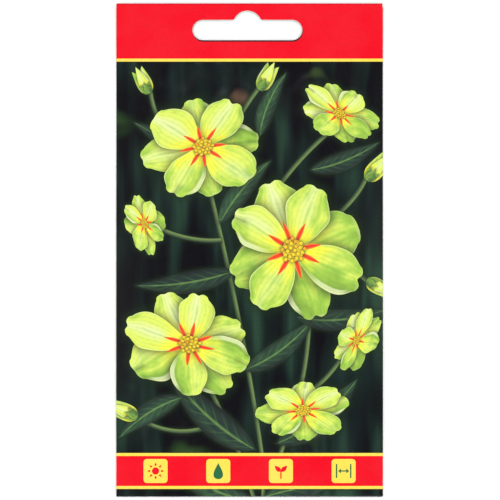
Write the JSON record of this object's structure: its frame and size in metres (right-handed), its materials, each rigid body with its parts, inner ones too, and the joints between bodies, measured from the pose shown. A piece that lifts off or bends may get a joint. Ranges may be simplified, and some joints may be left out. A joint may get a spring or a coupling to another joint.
{
  "type": "seed packet",
  "caption": "Flat sealed paper seed packet folded from one printed sheet, with a hang slot through its glued header and loose seeds inside.",
  "frame": {"origin": "under the middle of the packet, on the surface that its back lies on", "axes": "+X across the packet, +Y to its top edge with the hang slot, +Z out of its printed front"},
  "size_m": [0.08, 0.148, 0.0033],
  "materials": {
    "printed_paper": "coated paper, offset printed, slightly glossy outside, bare white inside",
    "glue": "dried adhesive, satin",
    "seed": "dull wrinkled seed coat"
  },
  "bodies": {
    "root": {"paper_sheet": "printed_paper", "seam_glue": "glue", "mouth_glue": "glue", "flap_bead_left": "glue", "flap_bead_right": "glue", "seed_01": "seed", "seed_02": "seed", "seed_03": "seed", "seed_04": "seed", "seed_05": "seed", "seed_06": "seed", "seed_07": "seed", "seed_08": "seed", "seed_09": "seed", "seed_10": "seed", "seed_11": "seed", "seed_12": "seed", "seed_13": "seed", "seed_14": "seed", "seed_15": "seed", "seed_16": "seed", "seed_17": "seed", "seed_18": "seed", "seed_19": "seed", "seed_20": "seed", "seed_21": "seed", "seed_22": "seed", "seed_23": "seed", "seed_24": "seed", "seed_25": "seed", "seed_26": "seed", "seed_27": "seed", "seed_28": "seed", "seed_29": "seed", "seed_30": "seed"}
  },
  "joints": []
}
